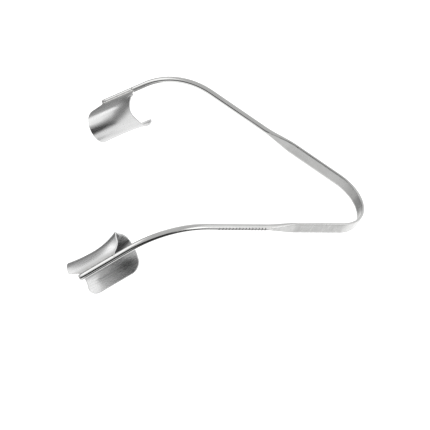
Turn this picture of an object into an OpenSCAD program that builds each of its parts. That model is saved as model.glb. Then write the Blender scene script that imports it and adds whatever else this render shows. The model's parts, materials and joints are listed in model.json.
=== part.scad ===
// Self-retaining cheek retractor: one spring bow of stainless wire, rolled flat through its V bend,
// with a pressed cheek plate soldered to each end. It lies as it rests on a table: the bend's lower
// edge and the two plates touch Z = 0, the bend points to +X, and the arms are mirror images about Y = 0.

/* [Spring bow] */
// Diameter of the round wire
wire_d = 3; // [2.6:0.1:3.4]
// Width of the wire where it is rolled flat
band_w = 6.3; // [5:0.1:7]
// Thickness of the wire where it is rolled flat
band_t = 1.15; // [1:0.05:1.3]
// Radius of the crown along both edges of the flat
edge_r = 0.7; // [0.7:0.05:1]
// Radius of the V bend, to the middle of the flat
bend_r = 20; // [16:0.5:24]
// Angle between each arm and the middle line
half_angle = 25; // [20:1:30]
// Length of each straight flat, from the V bend to the taper
flat_l = 26; // [20:1:32]
// Length over which the flat turns into round wire
taper_l = 18; // [12:1:24]
// Length of the straight round stretch of each arm
shank_l = 32.5; // [29:0.5:42]

/* [Arm ends] */
// Radius of the bend that turns each arm down
droop_r = 37.5; // [30:0.5:45]
// Angle that each arm turns down
droop = 57; // [45:1:62]
// Lean of that bend towards the middle
droop_lean = 7; // [0:1:12]
// Length of the straight end that carries the plate
end_l = 27; // [22:1:34]

/* [Cheek plates] */
// Thickness of the sheet
sheet_t = 0.8; // [0.6:0.1:1.2]
// Width of the blade along the wire
blade_w = 28; // [26:0.5:32]
// How far the blade reaches past the end of the wire
blade_reach = 5.9; // [3:0.1:7.5]
// Length of the tab that is soldered to the wire
tab_w = 19; // [15:0.5:20]
// Turn of the whole plate about the wire
plate_roll = 15; // [10:1:30]
// Length of the near leg, from the wire to the belly
near_leg = 7.5; // [6.5:0.5:9]
// Angle that the near leg curves through before the belly
near_turn = 11; // [4:1:20]
// Radius of the belly of the channel
belly_r = 7.9; // [7:0.1:8.5]
// Angle that the belly turns through
belly_turn = 155; // [145:1:165]
// Length of the far leg, from the belly to the free edge
far_leg = 6.2; // [5:0.1:9]
// How far the channel lifts at its outer end
outer_saddle = 1.3; // [0:0.1:2]
// How far the channel lifts at its inner end
inner_saddle = 3.2; // [0:0.1:3.5]
// How far the tab's inner corner stands out
lobe = 0.5; // [0:0.1:1.2]
// How far the neck next to that corner cuts in
neck = 1.4; // [0:0.1:1.6]
// Radius of the two corners of the free edge
corner_r = 5; // [2:0.5:6]

/* [Solder and grip] */
// How far the solder seam spreads along the tab
seam_h = 1.3; // [1:0.1:2]
// Number of grip notches on the lower arm
notches = 15; // [5:1:15]
// Distance from notch to notch
notch_pitch = 1.8; // [1.2:0.1:2]
// Depth of a notch
notch_depth = 0.3; // [0.1:0.05:0.3]

/* [Hidden] */
wire_r = wire_d / 2;
bend_half = 90 - half_angle;              // angle that each half of the V bend turns through
shank_x = flat_l + taper_l;               // where the round wire starts along an arm
droop_x = shank_x + shank_l;              // where the arm starts to turn down
first_notch_x = shank_x + 1;              // where the row of grip notches starts
flat_face_w = band_w - 2 * edge_r + sqrt(4 * edge_r * edge_r - band_t * band_t); // plane part of the flat
belly_l = belly_r * belly_turn * PI / 180; // length of the sheet round the belly
sheet_l = near_leg + belly_l + far_leg;   // length of the sheet round the whole channel
tab_end_x = end_l - tab_w;                // where the tab starts along the straight end
blade_end_x = end_l + blade_reach;        // where the blade stops, past the end of the wire
blade_start_x = blade_end_x - blade_w;    // where the blade starts
corner_s = 1.6;                           // distance from the wire at which the tab widens to the blade
corner_l = 4.7;                           // length of sheet over which it widens at its inner end
lobe_s = 3;                               // distance of the inner corner's lobe from the wire
lobe_l = 2.5;                             // reach of that lobe to both sides
neck_s = 15;                              // distance of the neck from the wire
neck_l = 5;                               // reach of the neck to both sides
flare_s = 0.5;                            // distance from the wire at which the outer end starts to flare
flare_l = 4.6;                            // length of sheet over which it flares
crest_s = 13.4;                           // distance from the wire at which the saddles lift most
plate_rows = 36;                          // steps of the sheet round its channel
plate_columns = 16;                       // steps of the sheet along the wire
level_s = sheet_l / plate_rows * ceil(seam_h * plate_rows / sheet_l); // sheet left plane for the solder
near_r = (near_leg - level_s) / (near_turn * PI / 180); // radius of the near leg's curve
taper_rings = 12;                         // steps of the taper along the wire
face_steps = 4;                           // steps across each rolled face of the taper
edge_steps = 12;                          // steps round each edge of the taper
ring_points = 2 * (face_steps + edge_steps);
face_arc = 360 * face_steps / ring_points; // arc of the round wire that becomes a rolled face
nose = 0.1;                               // share of the rolling after which the face is plane
seam_root = 0.95 * wire_r;                // where the solder starts, just inside the wire's round
wire_fn = 48;                             // sides of a round section
sweep_fn = 180;                           // steps of a full turn along the wire

arm_root = [bend_r * (cos(bend_half) - 1), bend_r * sin(bend_half), 0];
droop_end = [droop_r * sin(droop), 0, -droop_r * (1 - cos(droop))];

// ---- Rest: the bow tips until the V bend's lower edge and the plates touch the table ----
apex_low = [band_t / 2, 0, -band_w / 2];
plate_cloud = [for (p = plate_points()) bow_point(p)];
rest_tilt = max([for (p = plate_cloud) atan2(apex_low.z - p.z, apex_low.x - p.x)]);
apex_low_rest = tip(apex_low);
apex_high_rest = tip([band_t / 2, 0, band_w / 2]);
tail_x = min([for (p = plate_cloud) tip(p).x]);
rest_shift = [-(apex_high_rest.x + tail_x) / 2, 0, -apex_low_rest.z];

function tip(p) = turn_y(p, rest_tilt);

// ---- Frames along the upper arm, as functions for points and as modules for solids ----
function turn_x(p, a) = [p.x, p.y * cos(a) - p.z * sin(a), p.y * sin(a) + p.z * cos(a)];
function turn_y(p, a) = [p.x * cos(a) + p.z * sin(a), p.y, p.z * cos(a) - p.x * sin(a)];
function turn_z(p, a) = [p.x * cos(a) - p.y * sin(a), p.x * sin(a) + p.y * cos(a), p.z];

// A point of the plate's own frame, where X runs along the wire's straight end and Y along the tab
function bow_point(p) = turn_z(arm_point(turn_y(turn_x(p, -plate_roll), droop) + droop_end),
    180 - half_angle) + arm_root;
function arm_point(p) = turn_x(p, droop_lean) + [droop_x, 0, 0];

module resting() {
    translate(rest_shift) rotate([0, rest_tilt, 0]) children();
}

module mirrored_if(lower) {
    mirror([0, lower ? 1 : 0, 0]) children();
}

// X runs along the arm from the end of the V bend, Y points to the middle, Z is the width of the flat
module along_arm(lower) {
    resting() mirrored_if(lower) translate(arm_root) rotate([0, 0, 180 - half_angle]) children();
}

// X runs along the straight end of the wire, from where the droop bend stops
module along_end() {
    translate([droop_x, 0, 0]) rotate([droop_lean, 0, 0]) translate(droop_end) rotate([0, droop, 0])
        children();
}

// ---- Section of the flat: a strip with a crown along both edges, standing along Y ----
module flat_section() {
    square([band_t, band_w - 2 * edge_r], center = true);
    for (side = [-1, 1]) intersection() {
        translate([0, side * (band_w / 2 - edge_r)]) circle(r = edge_r, $fn = wire_fn);
        square([band_t, band_w], center = true);
    }
}

module spring_bend() {
    color("gainsboro") resting() translate([-bend_r, 0, 0]) rotate([0, 0, -bend_half])
        rotate_extrude(angle = 2 * bend_half, $fn = sweep_fn) translate([bend_r, 0]) flat_section();
}

module spring_flat(lower) {
    color("gainsboro") along_arm(lower) rotate([90, 0, 90]) linear_extrude(flat_l) flat_section();
}

// ---- Taper: two rolled faces widen along the wire, and an arc over each edge meets their rims ----
function ease(t) = let (u = min(max(t, 0), 1)) u * u * (3 - 2 * u);
function mix(a, b, share) = a + (b - a) * share;
// Point i of the wire's outline where a share u of the rolling is done: [thickness side, width side]
function outline(i, u) = let (side = i < ring_points / 2 ? 1 : -1, part = i % (ring_points / 2),
    face = mix(wire_d * sin(face_arc / 2), flat_face_w, u),
    thick = mix(wire_d * cos(face_arc / 2), band_t, u), wide = mix(wire_d, band_w, u),
    sag = (wide - face) / 2, r = (thick * thick / 4 + sag * sag) / (2 * sag),
    across = 2 * part / face_steps - 1,
    bulge = wire_r * (1 - cos(face_arc / 2)) * max(1 - u / nose, 0) * (1 - across * across),
    a = atan2(thick / 2, r - sag) * (1 - 2 * (part - face_steps) / edge_steps))
    side * (part <= face_steps ? [thick / 2 + bulge, across * face / 2]
        : [r * sin(a), wide / 2 - r + r * cos(a)]);
function taper_ring(t) = [for (i = [0:ring_points - 1]) let (p = outline(i, 1 - ease(t)))
    [flat_l + taper_l * t, p.x, p.y]];

module taper(lower) {
    rings = [for (k = [0:taper_rings]) each taper_ring(k / taper_rings)];
    centres = [[flat_l, 0, 0], [shank_x, 0, 0]];
    flat_centre = len(rings);
    last_ring = taper_rings * ring_points;
    sides = [for (k = [0:taper_rings - 1], i = [0:ring_points - 1])
        let (j = (i + 1) % ring_points, near = k * ring_points, far = near + ring_points)
        each [[near + i, near + j, far + i], [near + j, far + j, far + i]]];
    caps = [for (i = [0:ring_points - 1]) let (j = (i + 1) % ring_points)
        each [[flat_centre, j, i], [flat_centre + 1, last_ring + i, last_ring + j]]];
    color("gainsboro") along_arm(lower) polyhedron(concat(rings, centres), concat(sides, caps));
}

// ---- Round wire: straight shank, bend down, and the straight end that carries the plate ----
module wire(length) {
    rotate([0, 90, 0]) cylinder(h = length, d = wire_d, $fn = wire_fn);
}

// A row of grip notches across the outer side of the shank
module grip_notches() {
    side = notch_depth * sqrt(2);
    for (i = [0:notches - 1]) translate([first_notch_x + i * notch_pitch, -wire_r, 0])
        rotate([0, 0, 45]) cube([side, side, wire_d], center = true);
}

module shank(lower) {
    color("silver") along_arm(lower) difference() {
        translate([shank_x, 0, 0]) wire(shank_l);
        if (lower) grip_notches();
    }
}

module droop_bend(lower) {
    color("silver") along_arm(lower) translate([droop_x, 0, 0]) rotate([droop_lean, 0, 0])
        translate([0, 0, -droop_r]) rotate([90, 0, 0]) rotate([0, 0, 90 - droop])
            rotate_extrude(angle = droop, $fn = sweep_fn) translate([droop_r, 0])
                circle(d = wire_d, $fn = wire_fn);
}

module plate_rod(lower) {
    color("silver") along_arm(lower) along_end() wire(end_l);
}

// ---- Cheek plate: a sheet swept round the channel, wider at the blade than at the tab ----

// Middle of the sheet at distance s from the wire: [y, depth, angle]
function sheet_pose(s) = let (
    first = near_turn * min(max(s - level_s, 0), near_leg - level_s) / (near_leg - level_s),
    all = first + belly_turn * min(max(s - near_leg, 0), belly_l) / belly_l,
    leg = max(s - near_leg - belly_l, 0))
    [wire_r + min(s, level_s) + near_r * sin(first) + belly_r * (sin(all) - sin(first)) + leg * cos(all),
        near_r * (1 - cos(first)) + belly_r * (cos(first) - cos(all)) + leg * sin(all), all];

function rounded_in(s) = let (d = max(corner_r - (sheet_l - s), 0))
    corner_r - sqrt(max(corner_r * corner_r - d * d, 0));
// A smooth bump, 1 at its middle and 0 at its reach to both sides
function bump(s, middle, reach) = ease(1 - abs(s - middle) / reach);
function outer_end(s) = end_l + blade_reach * ease((s - flare_s) / flare_l) - rounded_in(s);
function inner_end(s) = mix(tab_end_x, blade_start_x, ease((s - corner_s) / corner_l))
    - lobe * bump(s, lobe_s, lobe_l) + neck * bump(s, neck_s, neck_l) + rounded_in(s);
// How far the sheet lifts out of its channel: none under the solder or at the free edge
function lift(s, across) = (across < 0 ? inner_saddle : outer_saddle) * across * across
    * (s < crest_s ? ease((s - level_s) / (crest_s - level_s))
        : 1 - ease((s - crest_s) / (sheet_l - crest_s)));

function sheet_point(row, column, side) = let (s = sheet_l * row / plate_rows, pose = sheet_pose(s),
    x = inner_end(s) + (outer_end(s) - inner_end(s)) * column / plate_columns,
    across = (x - blade_end_x + blade_w / 2) / (blade_w / 2),
    out = lift(s, across) + side * sheet_t / 2)
    [x, pose.x + out * sin(pose.z), -pose.y + out * cos(pose.z)];

function plate_points() = [for (side = [-1, 1], row = [0:plate_rows], column = [0:plate_columns])
    sheet_point(row, column, side)];

module cheek_plate(lower) {
    columns = plate_columns + 1;
    back = (plate_rows + 1) * columns;
    cells = [for (r = [0:plate_rows - 1], c = [0:plate_columns - 1]) r * columns + c];
    under = [for (i = cells) each [[i, i + 1, i + columns], [i + 1, i + columns + 1, i + columns]]];
    over = [for (i = cells) each [[back + i, back + i + columns, back + i + 1],
        [back + i + 1, back + i + columns, back + i + columns + 1]]];
    last_row = plate_rows * columns;
    rims = [for (c = [0:plate_columns - 1]) each [
            [c, back + c, c + 1], [c + 1, back + c, back + c + 1],
            [last_row + c, last_row + c + 1, back + last_row + c],
            [last_row + c + 1, back + last_row + c + 1, back + last_row + c]]];
    ends = [for (r = [0:plate_rows - 1]) let (i = r * columns, j = i + plate_columns) each [
            [i, i + columns, back + i], [i + columns, back + i + columns, back + i],
            [j, back + j, j + columns], [j + columns, back + j, back + j + columns]]];
    color("darkgray") along_arm(lower) along_end() rotate([-plate_roll, 0, 0])
        polyhedron(plate_points(), concat(under, over, rims, ends));
}

// ---- Solder seam: a fillet on both sides of the tab, in the corner against the wire ----
module seam_section() {
    difference() {
        polygon([[0, seam_root], [wire_r + seam_h, sheet_t / 2], [wire_r + seam_h, -sheet_t / 2],
            [0, -seam_root]]);
        circle(d = wire_d, $fn = wire_fn);
        translate([wire_r, -sheet_t / 2]) square([near_leg, sheet_t]);
    }
}

module solder_seam(lower) {
    color("lightgray") along_arm(lower) along_end() rotate([-plate_roll, 0, 0])
        translate([tab_end_x, 0, 0]) rotate([90, 0, 90]) linear_extrude(tab_w) seam_section();
}

spring_bend();
spring_flat(false);  // upper_spring_flat
spring_flat(true);  // lower_spring_flat
taper(false);  // upper_taper
taper(true);  // lower_taper
shank(false);  // upper_shank
shank(true);  // lower_shank
droop_bend(false);  // upper_droop_bend
droop_bend(true);  // lower_droop_bend
plate_rod(false);  // upper_plate_rod
plate_rod(true);  // lower_plate_rod
cheek_plate(false);  // upper_cheek_plate
cheek_plate(true);  // lower_cheek_plate
solder_seam(false);  // upper_solder_seam
solder_seam(true);  // lower_solder_seam
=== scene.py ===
"""Self-retaining cheek retractor in stainless steel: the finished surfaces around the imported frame."""
import json
import math

import bmesh
import bpy
from mathutils import Matrix, Vector


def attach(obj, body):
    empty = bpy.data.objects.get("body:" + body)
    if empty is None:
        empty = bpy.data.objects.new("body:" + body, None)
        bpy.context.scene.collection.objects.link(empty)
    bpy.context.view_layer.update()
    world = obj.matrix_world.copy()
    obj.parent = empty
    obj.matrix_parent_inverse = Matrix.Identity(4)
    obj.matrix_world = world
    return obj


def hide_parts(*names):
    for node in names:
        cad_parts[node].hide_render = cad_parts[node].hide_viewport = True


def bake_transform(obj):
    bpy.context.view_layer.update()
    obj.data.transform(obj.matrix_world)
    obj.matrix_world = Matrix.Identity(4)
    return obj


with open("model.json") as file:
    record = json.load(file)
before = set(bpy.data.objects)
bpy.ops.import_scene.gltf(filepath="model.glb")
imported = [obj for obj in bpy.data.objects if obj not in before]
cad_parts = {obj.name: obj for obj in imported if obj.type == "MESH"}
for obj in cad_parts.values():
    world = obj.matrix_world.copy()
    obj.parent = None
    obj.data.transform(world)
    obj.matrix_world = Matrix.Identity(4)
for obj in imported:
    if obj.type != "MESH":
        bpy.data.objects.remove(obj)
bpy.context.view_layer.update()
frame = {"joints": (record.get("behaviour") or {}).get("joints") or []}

MM = 0.001

# ---- Driving sizes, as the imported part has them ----
WIRE_D = 3.0 * MM
BAND_W = 6.3 * MM
BAND_T = 1.15 * MM
EDGE_R = 0.7 * MM
BEND_R = 20 * MM
HALF_ANGLE = math.radians(25)
FLAT_L = 26 * MM
TAPER_L = 18 * MM
SHANK_L = 32.5 * MM
DROOP_R = 37.5 * MM
DROOP = math.radians(57)
DROOP_LEAN = math.radians(7)
END_L = 27 * MM
SHEET_T = 0.8 * MM
BLADE_W = 28 * MM
BLADE_REACH = 5.9 * MM
TAB_W = 19 * MM
PLATE_ROLL = math.radians(15)
NEAR_LEG = 7.5 * MM
NEAR_TURN = math.radians(11)
BELLY_R = 7.9 * MM
BELLY_TURN = math.radians(155)
FAR_LEG = 6.2 * MM
OUTER_SADDLE = 1.3 * MM
INNER_SADDLE = 3.2 * MM
LOBE = 0.5 * MM
NECK = 1.4 * MM
CORNER_R = 5 * MM
NOTCHES = 15
NOTCH_PITCH = 1.8 * MM
NOTCH_DEPTH = 0.3 * MM

# ---- Fixed sizes: the cuts, and the plate's outline by its distance along the sheet from the tab ----
FIRST_NOTCH = 1 * MM
END_BEVEL = 0.35 * MM
LEVEL_S = 1.95 * MM
CREST_S = 13.4 * MM
FLARE_S = 0.5 * MM
FLARE_L = 4.6 * MM
CORNER_S = 1.6 * MM
CORNER_L = 4.7 * MM
LOBE_S = 3 * MM
LOBE_L = 2.5 * MM
NECK_S = 15 * MM
NECK_L = 5 * MM
SHEET_EDGE = 0.22 * MM

# ---- Sizes worked out from them ----
WIRE_R = WIRE_D / 2
BEND_HALF = math.radians(90) - HALF_ANGLE
ARC_L = BEND_R * BEND_HALF
TAPER_S = ARC_L + FLAT_L
SHANK_S = TAPER_S + TAPER_L
DROOP_S = SHANK_S + SHANK_L
END_S = DROOP_S + DROOP_R * DROOP
WIRE_END_S = END_S + END_L
BELLY_L = BELLY_R * BELLY_TURN
SHEET_L = NEAR_LEG + BELLY_L + FAR_LEG
TAB_END_X = END_L - TAB_W
BLADE_END_X = END_L + BLADE_REACH
BLADE_START_X = BLADE_END_X - BLADE_W
SEAM_S = ARC_L + 1 * MM
NEAR_R = (NEAR_LEG - LEVEL_S) / NEAR_TURN

# ---- The bow's frame, from the upper arm's hinge: halfway along the flat, its axis across the band ----
upper_hinge = next(j for j in frame["joints"] if j["name"] == "upper_arm_flex")
hinge_axis = Vector(upper_hinge["axis"])
REST_TILT = math.atan2(hinge_axis.x, hinge_axis.z)
ARM = (Matrix.Translation(upper_hinge["pos_m"]) @ Matrix.Rotation(REST_TILT, 4, "Y")
       @ Matrix.Rotation(math.radians(180) - HALF_ANGLE, 4, "Z") @ Matrix.Translation((-FLAT_L / 2, 0, 0)))
OTHER_SIDE = Matrix.Scale(-1, 4, (0, 1, 0))


def ease(t):
    t = min(max(t, 0), 1)
    return t * t * (3 - 2 * t)


def mix(a, b, share):
    return a + (b - a) * share


def spread(start, stop, step):
    """Places from start to stop, both included, no further apart than step."""
    count = max(1, math.ceil((stop - start) / step - 1e-6))
    return [mix(start, stop, i / count) for i in range(count + 1)]


def placed(name, data):
    piece = bpy.data.objects.new(name, data)
    bpy.context.scene.collection.objects.link(piece)
    return piece


# ---- The wire: where it runs, and how it is rolled ----
def wire_pose(s):
    """The frame at distance s from the V bend's apex: X along the wire, Y inward, Z across the band."""
    if s < ARC_L:
        turned = min((ARC_L - s) / BEND_R, 2 * BEND_HALF)
        past = min(s + ARC_L, 0)
        return (ARM @ Matrix.Translation((0, BEND_R, 0)) @ Matrix.Rotation(-turned, 4, "Z")
                @ Matrix.Translation((past, -BEND_R, 0)))
    straight = ARM @ Matrix.Translation((min(s, DROOP_S) - ARC_L, 0, 0))
    straight @= Matrix.Rotation(DROOP_LEAN * ease((s - SHANK_S) / SHANK_L), 4, "X")
    if s < DROOP_S:
        return straight
    turned = min((s - DROOP_S) / DROOP_R, DROOP)
    return (straight @ Matrix.Translation((0, 0, -DROOP_R)) @ Matrix.Rotation(turned, 4, "Y")
            @ Matrix.Translation((max(s - END_S, 0), 0, DROOP_R)))


FACE_STEPS = 8
EDGE_STEPS = 24
RING = 2 * (FACE_STEPS + EDGE_STEPS)
ROUND_FACE = math.radians(360) * FACE_STEPS / RING
STRIP_FACE = BAND_W - 2 * EDGE_R + 2 * math.sqrt(EDGE_R ** 2 - BAND_T ** 2 / 4)
NOSE = 0.1


def rolled_at(s):
    return 1 - ease((abs(s) - TAPER_S) / TAPER_L)


def outline(step, rolled):
    """Point of the wire's section: two rolled faces, and an arc over each edge that meets their rims."""
    half, part = divmod(step, RING // 2)
    side = -1 if half else 1
    face = mix(WIRE_D * math.sin(ROUND_FACE / 2), STRIP_FACE, rolled)
    thick = mix(WIRE_D * math.cos(ROUND_FACE / 2), BAND_T, rolled)
    wide = mix(WIRE_D, BAND_W, rolled)
    if part <= FACE_STEPS:
        across = 2 * part / FACE_STEPS - 1
        bulge = WIRE_R * (1 - math.cos(ROUND_FACE / 2)) * max(1 - rolled / NOSE, 0)
        return side * Vector((0, thick / 2 + bulge * (1 - across ** 2), across * face / 2))
    sag = (wide - face) / 2
    radius = (thick ** 2 / 4 + sag ** 2) / (2 * sag)
    reach = math.atan2(thick / 2, radius - sag)
    angle = mix(reach, -reach, (part - FACE_STEPS) / EDGE_STEPS)
    return side * Vector((0, radius * math.sin(angle), wide / 2 - radius + radius * math.cos(angle)))


def on_face(step, rolled):
    """1 on a rolled face, and 0 on the round edges and the round wire."""
    return ease(rolled / NOSE) if step % (RING // 2) <= FACE_STEPS else 0


def drawn_rings(bm, count, numbers):
    """A ring of verts at each height from 0 to count - 1, skinned. Each vert keeps its number."""
    step = bm.verts.layers.int.new("step")
    ring = bmesh.ops.create_circle(bm, segments=len(numbers), radius=WIRE_R)["verts"]
    for vert, number in zip(ring, numbers):
        vert[step] = number
    bmesh.ops.spin(bm, geom=bm.verts[:] + bm.edges[:], cent=(0, 0, 0), axis=(0, 0, 1),
                   dvec=(0, 0, 1), angle=0, steps=count - 1)
    return step


def drawn_wire(places, filed=()):
    """A length of wire: a ring of its section at each place, drawn out in equal steps and moved there."""
    bm = bmesh.new()
    blank = bm.verts.layers.float_vector.new("blank")
    face = bm.verts.layers.float.new("face")
    filing = bm.verts.layers.float.new("filed")
    step = drawn_rings(bm, len(places), range(RING))
    for vert in bm.verts:
        s = places[round(vert.co.z)]
        rolled = rolled_at(s)
        spot = outline(vert[step], rolled)
        for notch in filed:
            cut = NOTCH_DEPTH - abs(s - notch)
            if cut > 0 and spot.y < cut - WIRE_R:
                spot.y = cut - WIRE_R
                vert[filing] = cut / NOTCH_DEPTH
        vert[blank] = Vector((s, spot.y, spot.z))
        vert[face] = on_face(vert[step], rolled)
        vert.co = wire_pose(s) @ spot
    return bm


def close_ends(bm, bevelled_near=None):
    """Fills the open ends; the one near the given point is bevelled as a cut wire is."""
    rims = [e for e in bm.edges if e.is_boundary]
    for edge in rims:
        edge.smooth = False
    bmesh.ops.holes_fill(bm, edges=rims, sides=0)
    if bevelled_near:
        rim = [e for e in rims if (e.verts[0].co - bevelled_near).length < WIRE_D]
        for edge in rim:
            edge.smooth = True
        bmesh.ops.bevel(bm, geom=rim, offset=END_BEVEL, offset_type="OFFSET", segments=3, profile=0.5,
                        affect="EDGES", material=-1)


def make_piece(name, bm, lower=False):
    """Turns the mesh to the lower side if it belongs there, and makes it a smooth-shaded piece."""
    if lower:
        bmesh.ops.transform(bm, matrix=OTHER_SIDE, verts=bm.verts)
    bmesh.ops.recalc_face_normals(bm, faces=bm.faces)
    mesh = bpy.data.meshes.new(name)
    for face in bm.faces:
        face.smooth = True
    bm.to_mesh(mesh)
    bm.free()
    return placed(name, mesh)


# The widest gap between the rings of each stretch of the wire
BEND_STEP = 0.7 * MM
FLAT_STEP = 1 * MM
TAPER_STEP = 0.5 * MM
SHANK_STEP = 1.5 * MM
DROOP_STEP = 1 * MM
END_STEP = 3 * MM

# Rings at each notch, in notch depths from its middle. The outer two keep its shading off the plain wire
NOTCH_RINGS = (-1.25, -1, -0.5, 0, 0.5, 1, 1.25)
CLEAR_OF_NOTCH = 1.5 * NOTCH_DEPTH


def v_bend():
    bm = drawn_wire(spread(-SEAM_S, -ARC_L, FLAT_STEP) + spread(-ARC_L, ARC_L, BEND_STEP)[1:]
                    + spread(ARC_L, SEAM_S, FLAT_STEP)[1:])
    close_ends(bm)
    return make_piece("rolled_v_bend", bm)


def wire_arm(lower):
    notches = [SHANK_S + FIRST_NOTCH + i * NOTCH_PITCH for i in range(NOTCHES)] if lower else []
    shank = spread(SHANK_S, DROOP_S, SHANK_STEP)
    if notches:
        cuts = [n + shift * NOTCH_DEPTH for n in notches for shift in NOTCH_RINGS]
        clear = [s for s in shank if all(abs(s - n) > CLEAR_OF_NOTCH for n in notches)]
        shank = sorted(cuts + clear)
    bm = drawn_wire(spread(SEAM_S, TAPER_S, FLAT_STEP) + spread(TAPER_S, SHANK_S, TAPER_STEP)[1:-1] + shank
                    + spread(DROOP_S, END_S, DROOP_STEP)[1:] + spread(END_S, WIRE_END_S, END_STEP)[1:],
                    notches)
    close_ends(bm, wire_pose(WIRE_END_S).translation)
    return make_piece("lower_wire_arm" if lower else "upper_wire_arm", bm, lower)


# ---- The cheek plate: a cut sheet pressed round its channel ----
def rounded_in(s):
    d = max(CORNER_R - (SHEET_L - s), 0)
    return CORNER_R - math.sqrt(max(CORNER_R ** 2 - d ** 2, 0))


def bump(s, middle, reach):
    """A smooth bump, 1 at its middle and 0 at its reach to both sides."""
    return ease(1 - abs(s - middle) / reach)


def outer_end(s):
    return END_L + BLADE_REACH * ease((s - FLARE_S) / FLARE_L) - rounded_in(s)


def inner_end(s):
    return (mix(TAB_END_X, BLADE_START_X, ease((s - CORNER_S) / CORNER_L))
            - LOBE * bump(s, LOBE_S, LOBE_L) + NECK * bump(s, NECK_S, NECK_L) + rounded_in(s))


def lift(s, across):
    """How far the sheet lifts out of its channel: none under the solder or at the free edge."""
    saddle = INNER_SADDLE if across < 0 else OUTER_SADDLE
    rise = ease((s - LEVEL_S) / (CREST_S - LEVEL_S)) - ease((s - CREST_S) / (SHEET_L - CREST_S))
    return saddle * across ** 2 * rise


def pressed(s, x, level):
    """A point of the sheet after pressing, in the frame of the wire's straight end."""
    first = NEAR_TURN * min(max(s - LEVEL_S, 0) / (NEAR_LEG - LEVEL_S), 1)
    turned = first + BELLY_TURN * min(max(s - NEAR_LEG, 0) / BELLY_L, 1)
    leg = max(s - NEAR_LEG - BELLY_L, 0)
    across = (x - BLADE_END_X + BLADE_W / 2) / (BLADE_W / 2)
    out = lift(s, across) + level
    y = (WIRE_R + min(s, LEVEL_S) + NEAR_R * math.sin(first)
         + BELLY_R * (math.sin(turned) - math.sin(first)) + leg * math.cos(turned))
    depth = (NEAR_R * (1 - math.cos(first)) + BELLY_R * (math.cos(first) - math.cos(turned))
             + leg * math.sin(turned))
    return Vector((x, y + out * math.sin(turned), out * math.cos(turned) - depth))


PLATE = wire_pose(END_S) @ Matrix.Rotation(-PLATE_ROLL, 4, "X")
SHEET_ROWS = 120
SHEET_COLUMNS = 72


def cheek_plate(lower):
    """A grid of sheet, cut to its outline, thickened and rounded along its edge, then pressed."""
    bm = bmesh.new()
    sheet = bm.verts.layers.float_vector.new("sheet")
    bmesh.ops.create_grid(bm, x_segments=SHEET_COLUMNS, y_segments=SHEET_ROWS, size=0.5)
    for vert in bm.verts:
        s = (vert.co.y + 0.5) * SHEET_L
        vert.co = (mix(inner_end(s), outer_end(s), vert.co.x + 0.5), s, 0)
    bmesh.ops.solidify(bm, geom=bm.verts[:] + bm.edges[:] + bm.faces[:], thickness=SHEET_T)
    middle = sum(v.co.z for v in bm.verts) / len(bm.verts)
    rim_faces = [f for f in bm.faces if abs(f.normal.z) < 0.5]
    rims = list({e for f in rim_faces for e in f.edges
                 if len([g for g in e.link_faces if abs(g.normal.z) < 0.5]) == 1})
    bmesh.ops.bevel(bm, geom=rims, offset=SHEET_EDGE, offset_type="OFFSET", segments=3, profile=0.5,
                    affect="EDGES", material=-1, clamp_overlap=True)
    for vert in bm.verts:
        flat = vert.co.copy()
        vert[sheet] = flat
        vert.co = PLATE @ pressed(flat.y, flat.x, flat.z - middle)
    return make_piece("lower_pressed_plate" if lower else "upper_pressed_plate", bm, lower)


# ---- The solder: a fillet on both sides of the tab, with a drop where it ran out along the wire ----
SEAM_RING = 32
SEAM_H = 0.45 * MM
SEAM_REACH = math.radians(30)
SEAM_STEP = 0.25 * MM
RUN_ON = 1.5 * MM
SUNK = 0.05 * MM
DROP_X = TAB_END_X - 0.4 * MM
DROP_L = 1 * MM
DROP_H = 0.25 * MM
DROP_TURN = math.radians(45)


def arched(first, corner, last, share):
    """A point on the hollow curve from first to last that leans into the corner between them."""
    return first.lerp(corner, share).lerp(corner.lerp(last, share), share)


def solder_outline(step, x):
    """Point of the solder's section at x: a hollow fillet on each side of the tab, and its hidden side,
    sunk in the wire except where the drop froze."""
    size = ease((x - TAB_END_X + RUN_ON) / RUN_ON) * ease((END_L + 0.2 * MM - x) / (0.8 * MM))
    ripple = 1 + 0.05 * math.sin(x / MM * 1.7) + 0.04 * math.sin(x / MM * 4.1 + 1)
    size *= ripple + 0.2 * bump(x, TAB_END_X, 1.4 * MM)
    half, part = divmod(step, SEAM_RING // 2)
    side = -1 if half else 1
    reach = SEAM_REACH * size
    quarter = SEAM_RING // 4
    if part < quarter:
        on_wire = Vector((0, WIRE_R * math.cos(reach), WIRE_R * math.sin(reach)))
        on_tab = Vector((0, WIRE_R + SEAM_H * size, SHEET_T / 2 * min(size, 1)))
        corner = Vector((0, WIRE_R * 0.97, SHEET_T / 2 * min(size, 1)))
        spot = arched(on_tab, corner, on_wire, part / quarter)
    else:
        angle = mix(reach, math.pi, (part - quarter) / quarter)
        drop = 0 if half else bump(x, DROP_X, DROP_L) * max(0, math.cos(angle - DROP_TURN))
        radius = WIRE_R - SUNK + DROP_H * drop
        spot = Vector((0, radius * math.cos(angle), radius * math.sin(angle)))
    return Vector((x, spot.y, side * spot.z))


def solder_seam(lower):
    places = spread(TAB_END_X - RUN_ON + 0.1 * MM, END_L + 0.1 * MM, SEAM_STEP)
    bm = bmesh.new()
    half = SEAM_RING // 2
    step = drawn_rings(bm, len(places), [*range(half), *range(SEAM_RING - 1, half - 1, -1)])
    for vert in bm.verts:
        vert.co = PLATE @ solder_outline(vert[step], places[round(vert.co.z)])
    bmesh.ops.holes_fill(bm, edges=[e for e in bm.edges if e.is_boundary], sides=0)
    return make_piece("lower_solder_fillets" if lower else "upper_solder_fillets", bm, lower)


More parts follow.
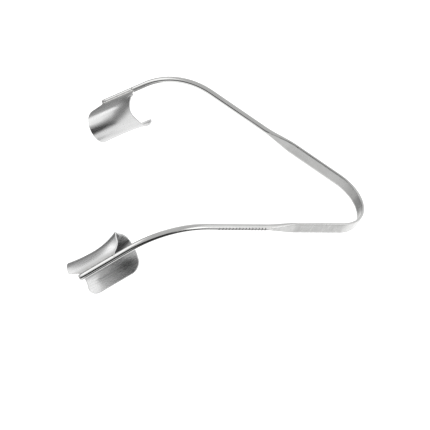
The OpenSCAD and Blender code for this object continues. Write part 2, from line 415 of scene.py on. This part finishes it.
# ---- Materials ----
def linear(hex_colour):
    """An sRGB hex colour as the linear colour that a shader reads."""
    parts = [int(hex_colour[i:i + 2], 16) / 255 for i in (1, 3, 5)]
    return [c / 12.92 if c <= 0.04045 else ((c + 0.055) / 1.055) ** 2.4 for c in parts] + [1]


def add(tree, kind, inputs=None, **settings):
    """Adds a node; inputs gives a value or another node's socket for each socket that it sets."""
    made = tree.nodes.new(kind)
    for name, value in settings.items():
        setattr(made, name, value)
    for name, value in (inputs or {}).items():
        if isinstance(value, bpy.types.NodeSocket):
            tree.links.new(value, made.inputs[name])
        else:
            made.inputs[name].default_value = value
    return made


def metal(name, colour, roughness):
    """A new metal material: its node tree, and the shader that its pattern is linked into. Its plain
    colour and roughness are for a viewer that can't draw the pattern."""
    material = bpy.data.materials.new(name)
    material.use_nodes = True
    tree = material.node_tree
    shader = tree.nodes["Principled BSDF"]
    shader.inputs["Base Color"].default_value = linear(colour)
    shader.inputs["Metallic"].default_value = 1
    shader.inputs["Roughness"].default_value = roughness
    return material, tree, shader


def on_sheet(tree, attribute, per_mm):
    """The piece's own flat coordinates, in millimetres times the given scale for each direction."""
    place = add(tree, "ShaderNodeAttribute", attribute_name=attribute)
    return add(tree, "ShaderNodeVectorMath", {0: place.outputs["Vector"], 1: [v / MM for v in per_mm]},
               operation="MULTIPLY").outputs[0]


# Most of a noise's values lie in this range
NOISE_SPREAD = {"From Min": 0.3, "From Max": 0.7}


def drawn_wire_steel():
    """Drawn spring stainless: the die leaves fine lines along the wire, and it was polished bright;
    the rolled faces were rubbed on a belt and keep a duller, finer grain along their length."""
    material, tree, shader = metal("drawn_and_polished_spring_stainless", "#D2D2D1", 0.2)
    face = add(tree, "ShaderNodeAttribute", attribute_name="face")
    # Die lines are about 0.05 mm apart; they're drawn 0.4 mm apart, the finest that shows
    lines = add(tree, "ShaderNodeTexNoise", {"Vector": on_sheet(tree, "blank", (0.06, 2.4, 2.4)),
                                             "Scale": 1.0, "Detail": 3.0, "Roughness": 0.6})
    # Belt grain: short scratches across the band, 0.1 mm apart, drawn 0.9 mm apart to show
    grain = add(tree, "ShaderNodeTexNoise", {"Vector": on_sheet(tree, "blank", (1.1, 1.1, 0.28)),
                                             "Scale": 1.0, "Detail": 4.0, "Roughness": 0.65})
    wiped = add(tree, "ShaderNodeTexNoise", {"Vector": on_sheet(tree, "blank", (0.12, 0.3, 0.3)),
                                             "Scale": 1.0, "Detail": 2.0})
    pattern = add(tree, "ShaderNodeMix", {"Factor": face.outputs["Fac"], "A": lines.outputs["Fac"],
                                          "B": grain.outputs["Fac"]})
    bright = add(tree, "ShaderNodeMapRange", {"Value": lines.outputs["Fac"], **NOISE_SPREAD,
                                              "To Min": 0.1, "To Max": 0.17})
    dull = add(tree, "ShaderNodeMapRange", {"Value": grain.outputs["Fac"], **NOISE_SPREAD,
                                            "To Min": 0.24, "To Max": 0.4})
    rough = add(tree, "ShaderNodeMix", {"Factor": face.outputs["Fac"], "A": bright.outputs["Result"],
                                        "B": dull.outputs["Result"]})
    tree.links.new(rough.outputs["Result"], shader.inputs["Roughness"])
    colour = add(tree, "ShaderNodeMix", {"Factor": wiped.outputs["Fac"]}, data_type="RGBA")
    colour.inputs["A"].default_value = linear("#D9D9D8")
    colour.inputs["B"].default_value = linear("#C6C6C5")
    # Painted shade: the file cuts are coloured a dull dark grey, which stands in for the shade that falls
    # in them
    filed = add(tree, "ShaderNodeAttribute", attribute_name="filed")
    depth = add(tree, "ShaderNodeMapRange", {"Value": filed.outputs["Fac"], "From Min": 0.0,
                                             "From Max": 0.12})
    painted_notch_shade = add(tree, "ShaderNodeMix", {"Factor": depth.outputs["Result"], "A": colour.outputs["Result"]},
               data_type="RGBA")
    painted_notch_shade.inputs["B"].default_value = linear("#3C3C3D")
    tree.links.new(painted_notch_shade.outputs["Result"], shader.inputs["Base Color"])
    bump_node = add(tree, "ShaderNodeBump", {"Height": pattern.outputs["Result"], "Strength": 0.35,
                                             "Distance": 0.02 * MM})
    tree.links.new(bump_node.outputs["Normal"], shader.inputs["Normal"])
    return material


def pressed_sheet_steel():
    """Pressed stainless sheet, brushed along the channel and then buffed: a satin sheen with streaks,
    and a duller border where the flux was pickled off next to the solder."""
    material, tree, shader = metal("brushed_and_buffed_stainless_sheet", "#CECECE", 0.28)
    # Brush lines are about 0.05 mm apart; they're drawn 0.35 mm apart, the finest that shows
    brushed = add(tree, "ShaderNodeTexNoise", {"Vector": on_sheet(tree, "sheet", (0.16, 2.8, 1)),
                                               "Scale": 1.0, "Detail": 4.0, "Roughness": 0.65})
    streaks = add(tree, "ShaderNodeTexNoise", {"Vector": on_sheet(tree, "sheet", (0.05, 0.45, 1)),
                                               "Scale": 1.0, "Detail": 2.0})
    speckle = add(tree, "ShaderNodeTexNoise", {"Vector": on_sheet(tree, "sheet", (2.2, 2.2, 2.2)),
                                               "Scale": 1.0, "Detail": 3.0})
    place = add(tree, "ShaderNodeAttribute", attribute_name="sheet")
    along = add(tree, "ShaderNodeSeparateXYZ", {"Vector": place.outputs["Vector"]})
    near_solder = add(tree, "ShaderNodeMapRange", {"Value": along.outputs["Y"], "From Min": 1.2 * MM,
                                                   "From Max": 3.6 * MM, "To Min": 1.0, "To Max": 0.0})
    patchy = add(tree, "ShaderNodeMath", {0: near_solder.outputs["Result"], 1: speckle.outputs["Fac"]},
                 operation="MULTIPLY")
    satin = add(tree, "ShaderNodeMapRange", {"Value": brushed.outputs["Fac"], **NOISE_SPREAD,
                                             "To Min": 0.2, "To Max": 0.34})
    rough = add(tree, "ShaderNodeMath", {0: patchy.outputs[0], 1: 0.25, 2: satin.outputs["Result"]},
                operation="MULTIPLY_ADD")
    tree.links.new(rough.outputs[0], shader.inputs["Roughness"])
    shade = add(tree, "ShaderNodeMix", {"Factor": streaks.outputs["Fac"]}, data_type="RGBA")
    shade.inputs["A"].default_value = linear("#D6D6D6")
    shade.inputs["B"].default_value = linear("#C2C2C2")
    tinted = add(tree, "ShaderNodeMix", {"Factor": patchy.outputs[0], "A": shade.outputs["Result"]},
                 data_type="RGBA")
    tinted.inputs["B"].default_value = linear("#ABABA9")
    tree.links.new(tinted.outputs["Result"], shader.inputs["Base Color"])
    bump_node = add(tree, "ShaderNodeBump", {"Height": brushed.outputs["Fac"], "Strength": 0.35,
                                             "Distance": 0.03 * MM})
    tree.links.new(bump_node.outputs["Normal"], shader.inputs["Normal"])
    return material


def frozen_solder():
    """Silver solder: bright and smooth as it froze, with soft ripples along the seam."""
    material, tree, shader = metal("silver_solder_as_frozen", "#D0D0CE", 0.2)
    here = add(tree, "ShaderNodeTexCoord")
    ripples = add(tree, "ShaderNodeTexNoise", {"Vector": here.outputs["Object"], "Scale": 900.0,
                                               "Detail": 2.0})
    rough = add(tree, "ShaderNodeMapRange", {"Value": ripples.outputs["Fac"], **NOISE_SPREAD,
                                             "To Min": 0.14, "To Max": 0.3})
    tree.links.new(rough.outputs["Result"], shader.inputs["Roughness"])
    bump_node = add(tree, "ShaderNodeBump", {"Height": ripples.outputs["Fac"], "Strength": 0.5,
                                             "Distance": 0.06 * MM})
    tree.links.new(bump_node.outputs["Normal"], shader.inputs["Normal"])
    return material


def finish_with(piece, material):
    piece.data.materials.append(material)


wire_steel = drawn_wire_steel()
plate_steel = pressed_sheet_steel()
solder = frozen_solder()

bend = v_bend()
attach(bend, "bend")
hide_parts("spring_bend")
finish_with(bend, wire_steel)
WIRE_PARTS = ("spring_flat", "taper", "shank", "droop_bend", "plate_rod")
for lower in (False, True):
    side = "lower" if lower else "upper"
    turn = OTHER_SIDE if lower else Matrix.Identity(4)
    arm = wire_arm(lower)
    turn @ wire_pose(SEAM_S).translation
    turn @ wire_pose(TAPER_S).translation
    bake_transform(arm)
    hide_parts(*[f"{side}_{part}" for part in WIRE_PARTS])
    finish_with(arm, wire_steel)
    plate = cheek_plate(lower)
    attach(plate, side + "_arm")
    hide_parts(side + "_cheek_plate")
    finish_with(plate, plate_steel)
    seam = solder_seam(lower)
    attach(seam, side + "_arm")
    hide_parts(side + "_solder_seam")
    finish_with(seam, solder)


# ---- Table, light and camera ----
TABLE_HALF = 3
TABLE_GLOW = 0.62
ROOM_BEHIND = 0.95


def table():
    bm = bmesh.new()
    bmesh.ops.create_grid(bm, x_segments=1, y_segments=1, size=TABLE_HALF)
    mesh = bpy.data.meshes.new("table")
    bm.to_mesh(mesh)
    bm.free()
    piece = placed("table", mesh)
    material = bpy.data.materials.new("white_table")
    material.use_nodes = True
    shader = material.node_tree.nodes["Principled BSDF"]
    shader.inputs["Base Color"].default_value = linear("#F6F6F6")
    shader.inputs["Roughness"].default_value = 0.9
    shader.inputs["Specular IOR Level"].default_value = 0
    shader.inputs["Emission Color"].default_value = linear("#FFFFFF")
    shader.inputs["Emission Strength"].default_value = TABLE_GLOW
    mesh.materials.append(material)
    piece.visible_glossy = False


# The light tent round the table, as the steel mirrors it. Each card: its bearing from straight behind
# the bow, its height over the table, half its width, half its height, the softness of its edges, all
# in degrees, and its brightness. A card hides those before it
TENT_GREY = 0.66
TENT_CARDS = [
    ("table_below", 0, -90, 360, 70, 24, 1.3),
    ("table_behind", 40, -30, 58, 34, 16, 1.4),
    ("back_wall", 40, 20, 62, 22, 20, 0.85),
    ("right_wall", 92, 20, 24, 20, 16, 1.15),
    ("dark_left_rear", -46, -8, 28, 15, 14, 0.17),
    ("dark_left_corner", -37, 14, 9, 15, 9, 0.45),
    ("left_softbox", -90, 40, 37, 16, 12, 1.5),
    ("dark_left", -105, 4, 52, 13, 12, 0.33),
    ("left_reflector", -61, 23, 8, 8, 8, 1.9),
    ("dark_front", -174, 2, 37, 18, 12, 0.02),
    ("dark_right_front", 150, -35, 27, 28, 13, 0.05),
    ("right_softbox", 127, 6, 10, 22, 8, 1.9),
]


def light_tent():
    world = bpy.data.worlds.new("light_tent")
    bpy.context.scene.world = world
    world.use_nodes = True
    tree = world.node_tree
    sky = tree.nodes["Background"]
    toward = add(tree, "ShaderNodeTexCoord").outputs["Generated"]
    axes = add(tree, "ShaderNodeSeparateXYZ", {"Vector": toward})
    bearing = add(tree, "ShaderNodeMath", {0: axes.outputs["X"], 1: axes.outputs["Y"]}, operation="ARCTAN2")
    height = add(tree, "ShaderNodeMath", {0: axes.outputs["Z"]}, operation="ARCSINE")
    shade = TENT_GREY
    for name, turn, up, wide, high, soft, bright in TENT_CARDS:
        masks = []
        for angle, middle, half in ((bearing, turn, wide), (height, up, high)):
            off = add(tree, "ShaderNodeMath", {0: angle.outputs[0], 1: math.radians(middle)},
                      operation="SUBTRACT")
            turned = add(tree, "ShaderNodeMath", {0: off.outputs[0], 1: math.pi, 2: -math.pi},
                         operation="WRAP")
            away = add(tree, "ShaderNodeMath", {0: turned.outputs[0]}, operation="ABSOLUTE")
            mask = add(tree, "ShaderNodeMapRange", {
                "Value": away.outputs[0], "From Min": math.radians(half + soft / 2),
                "From Max": math.radians(half - soft / 2)}, interpolation_type="SMOOTHSTEP")
            masks.append(mask.outputs["Result"])
        both = add(tree, "ShaderNodeMath", {0: masks[0], 1: masks[1]}, operation="MULTIPLY")
        card = add(tree, "ShaderNodeMix", {"Factor": both.outputs[0], "A": shade, "B": bright}, label=name)
        shade = card.outputs["Result"]
    seen = add(tree, "ShaderNodeLightPath").outputs["Is Camera Ray"]
    room = add(tree, "ShaderNodeMix", {"Factor": seen, "A": shade, "B": ROOM_BEHIND})
    tree.links.new(room.outputs["Result"], sky.inputs["Color"])


table()
light_tent()

VIEW_AIM = Vector((-0.0029, -0.0246, 0.0200))
VIEW_DISTANCE = 0.6631
VIEW_TURN = math.radians(0.74)
VIEW_HEIGHT = math.radians(41.17)
VIEW_ROLL = math.radians(0.67)

lens = bpy.data.cameras.new("camera")
lens.lens = 118.7
lens.sensor_width = 36
lens.clip_start = 0.01
camera = placed("camera", lens)
camera.matrix_world = (Matrix.Translation(VIEW_AIM) @ Matrix.Rotation(VIEW_TURN, 4, "Z")
                       @ Matrix.Rotation(math.radians(90) - VIEW_HEIGHT, 4, "X")
                       @ Matrix.Translation((0, 0, VIEW_DISTANCE)) @ Matrix.Rotation(VIEW_ROLL, 4, "Z"))
bpy.context.scene.camera = camera
bpy.context.scene.view_settings.view_transform = "Standard"
